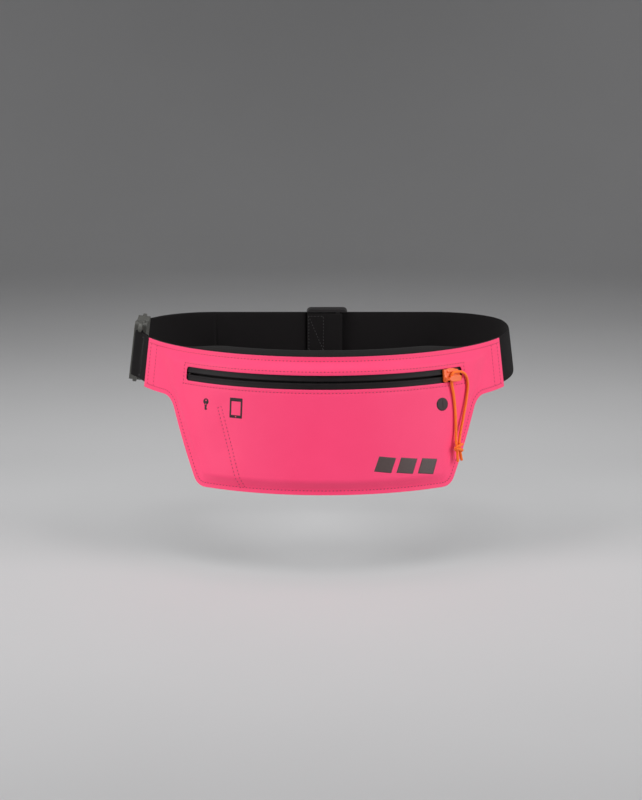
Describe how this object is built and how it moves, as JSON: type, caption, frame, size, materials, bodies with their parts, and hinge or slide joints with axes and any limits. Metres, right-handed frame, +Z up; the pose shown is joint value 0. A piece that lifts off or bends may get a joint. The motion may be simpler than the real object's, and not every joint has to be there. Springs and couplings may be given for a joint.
{
  "type": "waist pack",
  "caption": "Flat zipped running waist pack on an elastic belt that closes with a side-release buckle and tightens with a sliding adjuster.",
  "frame": {"origin": "middle of the closed belt loop, at half the height of the elastic", "axes": "+X from the buckle side to the slider side, -Y towards the front of the pouch, +Z up as worn"},
  "size_m": [0.3507, 0.2761, 0.1224],
  "materials": {
    "front_fabric": "thin matt stretch fabric, pink",
    "back_fabric": "black knitted backing",
    "elastic": "black ribbed woven elastic",
    "zip_tape": "black water-resistant film on the zip tapes",
    "zip_coil": "black nylon coil",
    "slider": "orange moulded slider",
    "pull_cord": "orange braided cord",
    "port_rubber": "dark flexible film disc with a slit",
    "buckle_plastic": "grey moulded buckle plastic, satin",
    "adjuster_plastic": "black moulded adjuster plastic"
  },
  "bodies": {
    "pouch": {"front_panel": "front_fabric", "back_panel": "back_fabric", "key_pocket": "back_fabric", "cable_port": "port_rubber", "zip_tape_upper": "zip_tape", "zip_tape_lower": "zip_tape", "zip_coil_upper": "zip_coil", "zip_coil_lower": "zip_coil", "zip_bottom_stop": "zip_coil", "zip_top_stop": "zip_coil", "strap_short": "elastic", "strap_long": "elastic", "strap_return": "elastic", "buckle_socket": "buckle_plastic"},
    "slider": {"zip_slider": "slider"},
    "puller": {"pull_cord": "pull_cord", "pull_cord_knot": "pull_cord"},
    "adjuster": {"adjuster": "adjuster_plastic", "strap_end_fold": "elastic"},
    "plug": {"buckle_plug": "buckle_plastic", "strap_plug_loop": "elastic"},
    "prong_upper": {"buckle_prong_upper": "buckle_plastic"},
    "prong_lower": {"buckle_prong_lower": "buckle_plastic"}
  },
  "joints": [
    {"name": "zip_slide", "type": "hinge", "parent": "pouch", "child": "slider", "pos_m": [0, 0.044, 0], "axis": [0, 0, -1], "range_deg": [0, 75.6]},
    {"name": "cord_lift", "type": "hinge", "parent": "slider", "child": "puller", "pos_m": [0.10947, -0.09913, -0.00728], "axis": [-0.7943, -0.6075, 0], "range_deg": [0, 110], "deforming": ["pull_cord"]},
    {"name": "adjuster_slide", "type": "slide", "parent": "pouch", "child": "adjuster", "axis": [1, 0, 0], "range_m": [-0.08, 0.075], "deforming": ["strap_return"]},
    {"name": "buckle_release", "type": "slide", "parent": "pouch", "child": "plug", "axis": [-0.0061, 1, 0], "range_m": [0, 0.03], "deforming": ["strap_plug_loop", "buckle_prong_upper", "buckle_prong_lower"]},
    {"name": "prong_upper_squeeze", "type": "hinge", "parent": "plug", "child": "prong_upper", "pos_m": [-0.16694, 0.05298, 0.01271], "axis": [0.9921, 0.006, -0.1253], "range_deg": [0, 12], "stiffness_Nm_per_rad": 0.6},
    {"name": "prong_lower_squeeze", "type": "hinge", "parent": "plug", "child": "prong_lower", "pos_m": [-0.1702, 0.05296, -0.01309], "axis": [-0.9921, -0.006, 0.1253], "range_deg": [0, 12], "stiffness_Nm_per_rad": 0.6}
  ]
}
